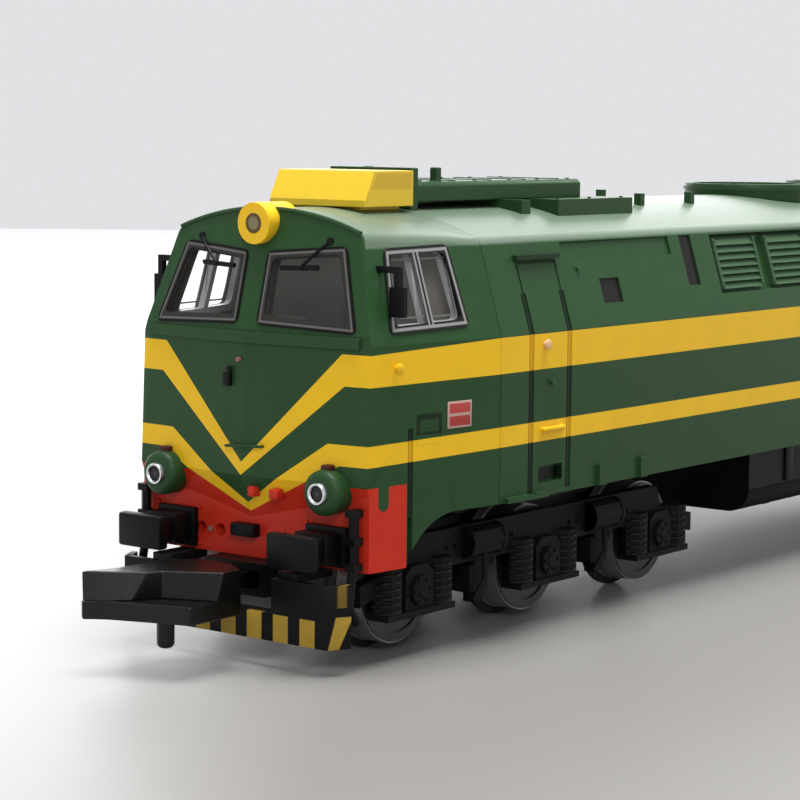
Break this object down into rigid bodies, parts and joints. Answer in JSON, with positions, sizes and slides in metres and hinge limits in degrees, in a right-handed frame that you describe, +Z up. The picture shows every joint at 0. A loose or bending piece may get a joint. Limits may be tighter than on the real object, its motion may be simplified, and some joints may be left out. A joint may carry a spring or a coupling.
{
  "type": "model diesel locomotive",
  "caption": "Small-scale model diesel locomotive for narrow model track: full-width hollow body with a cab at each end, two swivelling three-axle bogies, hook couplers.",
  "frame": {"origin": "centre of the model's footprint, on the surface that the wheels stand on", "axes": "+X along the model to its front end, +Y to its left side, +Z up"},
  "size_m": [0.1432, 0.0198, 0.0268],
  "materials": {
    "body_green": "satin",
    "filter_green": "satin",
    "dark_pane": "polished",
    "stripe_yellow": "satin",
    "unit_yellow": "satin",
    "glazing": "polished",
    "window_rubber": "matte",
    "window_metal": "satin",
    "interior": "matte",
    "bright_metal": "polished",
    "lamp_lens": "polished",
    "black_plastic": "satin",
    "plough_paint": "satin",
    "bogie_black": "matte",
    "chassis_metal": "as cast",
    "rail_dark": "satin",
    "wheel_metal": "blackened"
  },
  "bodies": {
    "body": {"hood_shell": "body_green", "underframe": "chassis_metal", "ballast_block": "chassis_metal", "fuel_tank": "black_plastic", "hood_windows": "dark_pane", "filter_panels": "filter_green", "roof_hatches": "body_green", "cab_shell_front": "body_green", "cab_shell_back": "body_green", "cab_glazing_front": "glazing", "cab_glazing_back": "glazing", "windscreen_rubbers_front": "window_rubber", "windscreen_rubbers_back": "window_rubber", "side_window_frames_front": "window_metal", "side_window_frames_back": "window_metal", "cab_interior_front": "interior", "cab_interior_back": "interior", "marker_lamps_front": "body_green", "marker_lamps_back": "body_green", "marker_rings_front": "bright_metal", "marker_rings_back": "bright_metal", "headlight_front": "stripe_yellow", "headlight_back": "stripe_yellow", "lamp_lenses_front": "lamp_lens", "lamp_lenses_back": "lamp_lens", "cooling_unit_front": "unit_yellow", "cooling_unit_back": "unit_yellow", "roof_duct_front": "body_green", "roof_duct_back": "body_green", "buffers_front": "black_plastic", "buffers_back": "black_plastic", "coupler_pocket_front": "black_plastic", "coupler_pocket_back": "black_plastic", "plough_front": "plough_paint", "plough_back": "plough_paint", "handrails_front": "rail_dark", "handrails_back": "rail_dark", "mirrors_front": "black_plastic", "mirrors_back": "black_plastic", "brake_hoses_front": "black_plastic", "brake_hoses_back": "black_plastic"},
    "bogie_front": {"bogie_frame_front": "bogie_black", "bogie_gearbox_front": "chassis_metal"},
    "coupler_front": {"coupler_front": "black_plastic"},
    "wheelset_front_1": {"wheelset_front_1": "wheel_metal"},
    "wheelset_front_2": {"wheelset_front_2": "wheel_metal"},
    "wheelset_front_3": {"wheelset_front_3": "wheel_metal"},
    "bogie_back": {"bogie_frame_back": "bogie_black", "bogie_gearbox_back": "chassis_metal"},
    "coupler_back": {"coupler_back": "black_plastic"},
    "wheelset_back_1": {"wheelset_back_1": "wheel_metal"},
    "wheelset_back_2": {"wheelset_back_2": "wheel_metal"},
    "wheelset_back_3": {"wheelset_back_3": "wheel_metal"}
  },
  "joints": [
    {"name": "bogie_front_swivel", "type": "hinge", "parent": "body", "child": "bogie_front", "pos_m": [0.0434, 0, 0.0079], "axis": [0, 0, 1], "range_deg": [-10, 10]},
    {"name": "wheelset_front_1_spin", "type": "hinge", "parent": "bogie_front", "child": "wheelset_front_1", "pos_m": [0.056, 0, 0.00365], "axis": [0, 1, 0], "continuous": true},
    {"name": "wheelset_front_2_spin", "type": "hinge", "parent": "bogie_front", "child": "wheelset_front_2", "pos_m": [0.0434, 0, 0.00365], "axis": [0, 1, 0], "continuous": true},
    {"name": "wheelset_front_3_spin", "type": "hinge", "parent": "bogie_front", "child": "wheelset_front_3", "pos_m": [0.0308, 0, 0.00365], "axis": [0, 1, 0], "continuous": true},
    {"name": "coupler_front_swing", "type": "hinge", "parent": "body", "child": "coupler_front", "pos_m": [0.0618, 0, 0.0044], "axis": [0, 0, 1], "range_deg": [-12, 12]},
    {"name": "bogie_back_swivel", "type": "hinge", "parent": "body", "child": "bogie_back", "pos_m": [-0.0434, 0, 0.0079], "axis": [0, 0, 1], "range_deg": [-10, 10]},
    {"name": "wheelset_back_1_spin", "type": "hinge", "parent": "bogie_back", "child": "wheelset_back_1", "pos_m": [-0.056, 0, 0.00365], "axis": [0, 1, 0], "continuous": true},
    {"name": "wheelset_back_2_spin", "type": "hinge", "parent": "bogie_back", "child": "wheelset_back_2", "pos_m": [-0.0434, 0, 0.00365], "axis": [0, 1, 0], "continuous": true},
    {"name": "wheelset_back_3_spin", "type": "hinge", "parent": "bogie_back", "child": "wheelset_back_3", "pos_m": [-0.0308, 0, 0.00365], "axis": [0, 1, 0], "continuous": true},
    {"name": "coupler_back_swing", "type": "hinge", "parent": "body", "child": "coupler_back", "pos_m": [-0.0618, 0, 0.0044], "axis": [0, 0, 1], "range_deg": [-12, 12]}
  ]
}
